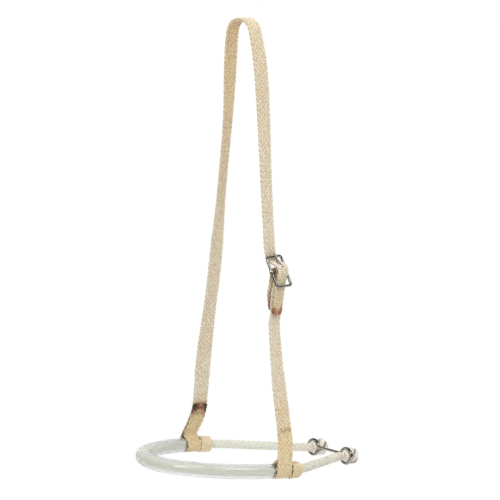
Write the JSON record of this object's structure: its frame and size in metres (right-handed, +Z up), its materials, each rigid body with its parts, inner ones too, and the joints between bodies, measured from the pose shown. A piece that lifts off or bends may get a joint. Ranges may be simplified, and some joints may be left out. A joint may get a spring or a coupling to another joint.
{
  "type": "tie-down noseband headstall",
  "caption": "Lariat rope noseband with a clear nose tube and a wire chin clip, hung from a flat braided cotton headstall with a centre-bar buckle.",
  "frame": {"origin": "middle of the crown's underside, where the strap rests on a horse's poll or on a hook", "axes": "+X towards the near side with the buckle, -Y towards the nose, +Y towards the chin clip, +Z up"},
  "size_m": [0.1648, 0.2863, 0.5089],
  "materials": {
    "cotton": "undyed flat-braided cotton, matte",
    "thread": "undyed sewing thread, matte",
    "rope": "stiff laid lariat rope, pale grey-green, matte",
    "vinyl": "clear soft vinyl tube, glossy",
    "nickel": "bright nickel-plated wire"
  },
  "bodies": {
    "headstall": {"crown_strap": "cotton", "near_cheek_strap": "cotton", "chape_stitch": "thread"},
    "noseband": {"far_cheek_loop": "cotton", "near_cheek_loop": "cotton", "far_loop_inner_stitch": "thread", "far_loop_outer_stitch": "thread", "near_loop_inner_stitch": "thread", "near_loop_outer_stitch": "thread", "nose_tube": "vinyl", "noseband_rope": "rope", "far_collar": "cotton", "near_collar": "cotton", "far_rope_knot": "rope", "near_rope_knot": "rope"},
    "chin_clip": {"chin_clip": "nickel"},
    "buckle": {"buckle_frame": "nickel", "buckle_bar": "nickel"},
    "tongue": {"buckle_tongue": "nickel"}
  },
  "joints": [
    {"name": "noseband_tip", "type": "hinge", "parent": "headstall", "child": "noseband", "pos_m": [0, -0.005, -0.41635], "axis": [1, 0, 0], "range_deg": [-25, 25]},
    {"name": "chin_clip_swing", "type": "hinge", "parent": "noseband", "child": "chin_clip", "pos_m": [0, 0.13209, -0.49439], "axis": [1, 0, 0], "range_deg": [-14, 14]},
    {"name": "buckle_rock", "type": "hinge", "parent": "headstall", "child": "buckle", "pos_m": [0.05462, 0.00016, -0.26248], "axis": [-0.1863, 0.9814, -0.0458], "range_deg": [-4, 4]},
    {"name": "tongue_lift", "type": "hinge", "parent": "buckle", "child": "tongue", "pos_m": [0.05462, 0.00016, -0.26248], "axis": [-0.1863, 0.9814, -0.0458], "range_deg": [0, 30]}
  ]
}
